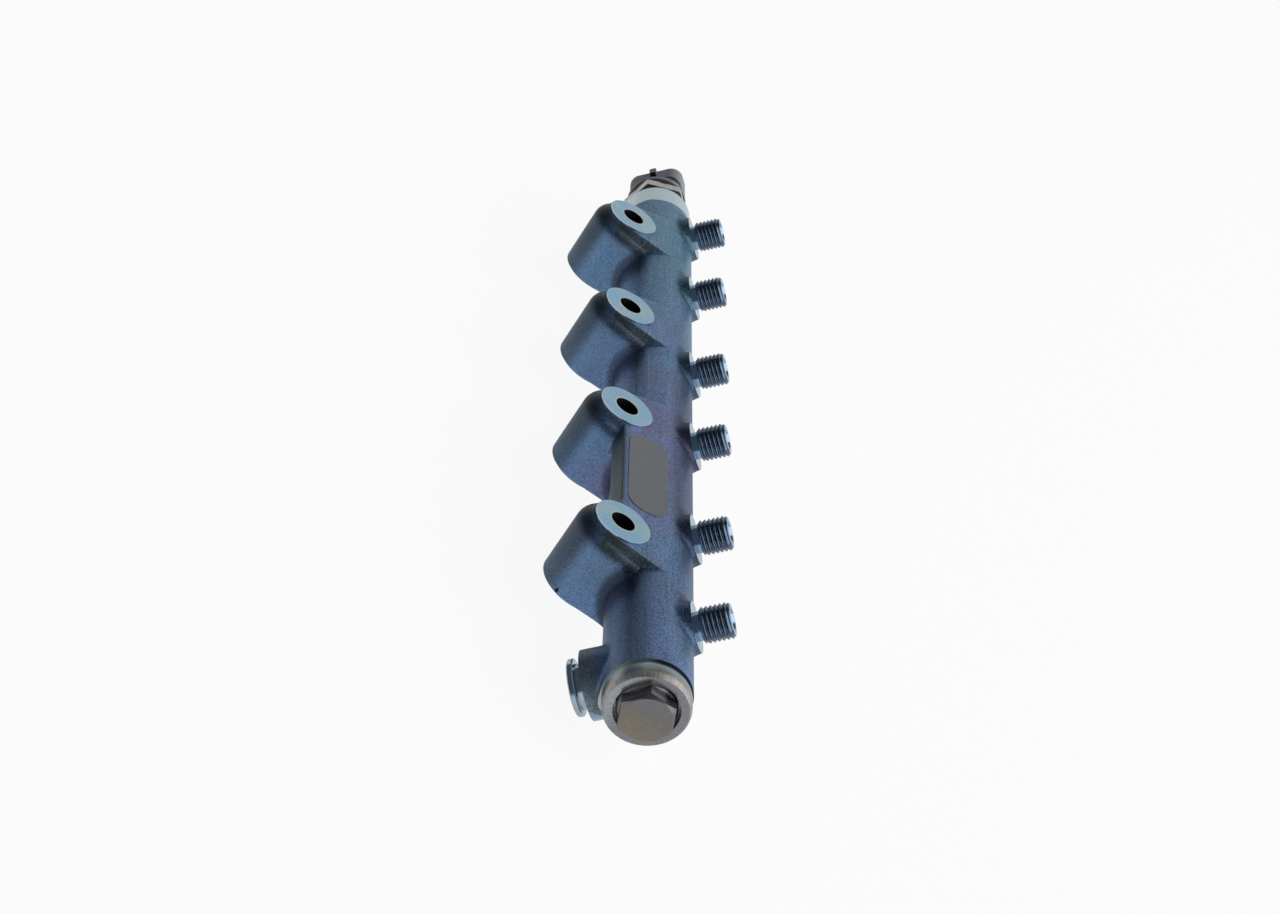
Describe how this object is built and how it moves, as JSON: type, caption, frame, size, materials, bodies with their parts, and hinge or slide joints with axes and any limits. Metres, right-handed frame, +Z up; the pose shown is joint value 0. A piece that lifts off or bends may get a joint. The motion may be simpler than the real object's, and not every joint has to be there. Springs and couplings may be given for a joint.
{
  "type": "fuel rail",
  "caption": "Forged high-pressure common rail with bolt lugs, threaded injector ports, a return fitting, a pressure limiting valve and a pressure sensor.",
  "frame": {"origin": "middle of the line of bolt holes, on the seat plane of the lugs", "axes": "+Z up along the bolts toward their heads, +Y along the rail to the pressure sensor, +X toward the injector ports"},
  "size_m": [0.0556, 0.3708, 0.0465],
  "materials": {
    "forged_steel": "forged and shot blasted, zinc plated, turned and milled at the interfaces",
    "label_film": "matt, bare",
    "valve_steel": "turned, warm satin",
    "seat_steel": "ground",
    "spring_steel": "drawn wire",
    "plated_steel": "bright zinc plated",
    "seal_rubber": "matt",
    "sensor_steel": "turned stainless",
    "gauge_glass": "glass-bonded gauge on steel",
    "spacer_plastic": "moulded",
    "board": "circuit board",
    "connector_plastic": "moulded, glass filled",
    "contact_tin": "tin plated bronze"
  },
  "bodies": {
    "rail": {"rail_body": "forged_steel", "type_label": "label_film", "valve_body": "valve_steel", "valve_seat": "seat_steel", "valve_spring": "spring_steel", "spring_shim": "seat_steel", "valve_seal": "seal_rubber", "return_fitting": "plated_steel", "return_seal": "seal_rubber", "sensor_body": "sensor_steel", "sensor_element": "gauge_glass", "board_spacer": "spacer_plastic", "sensor_board": "board", "connector_housing": "connector_plastic", "connector_seal": "seal_rubber", "contact_pin_1": "contact_tin", "contact_pin_2": "contact_tin", "contact_pin_3": "contact_tin", "throttle_1": "seat_steel", "throttle_2": "seat_steel", "throttle_3": "seat_steel", "throttle_4": "seat_steel", "throttle_5": "seat_steel", "throttle_6": "seat_steel"},
    "plunger": {"valve_plunger": "seat_steel"}
  },
  "joints": [
    {"name": "valve_lift", "type": "slide", "parent": "rail", "child": "plunger", "axis": [0, -1, 0], "range_m": [0, 0.001], "stiffness_N_per_m": 10000, "deforming": ["valve_spring"]}
  ]
}
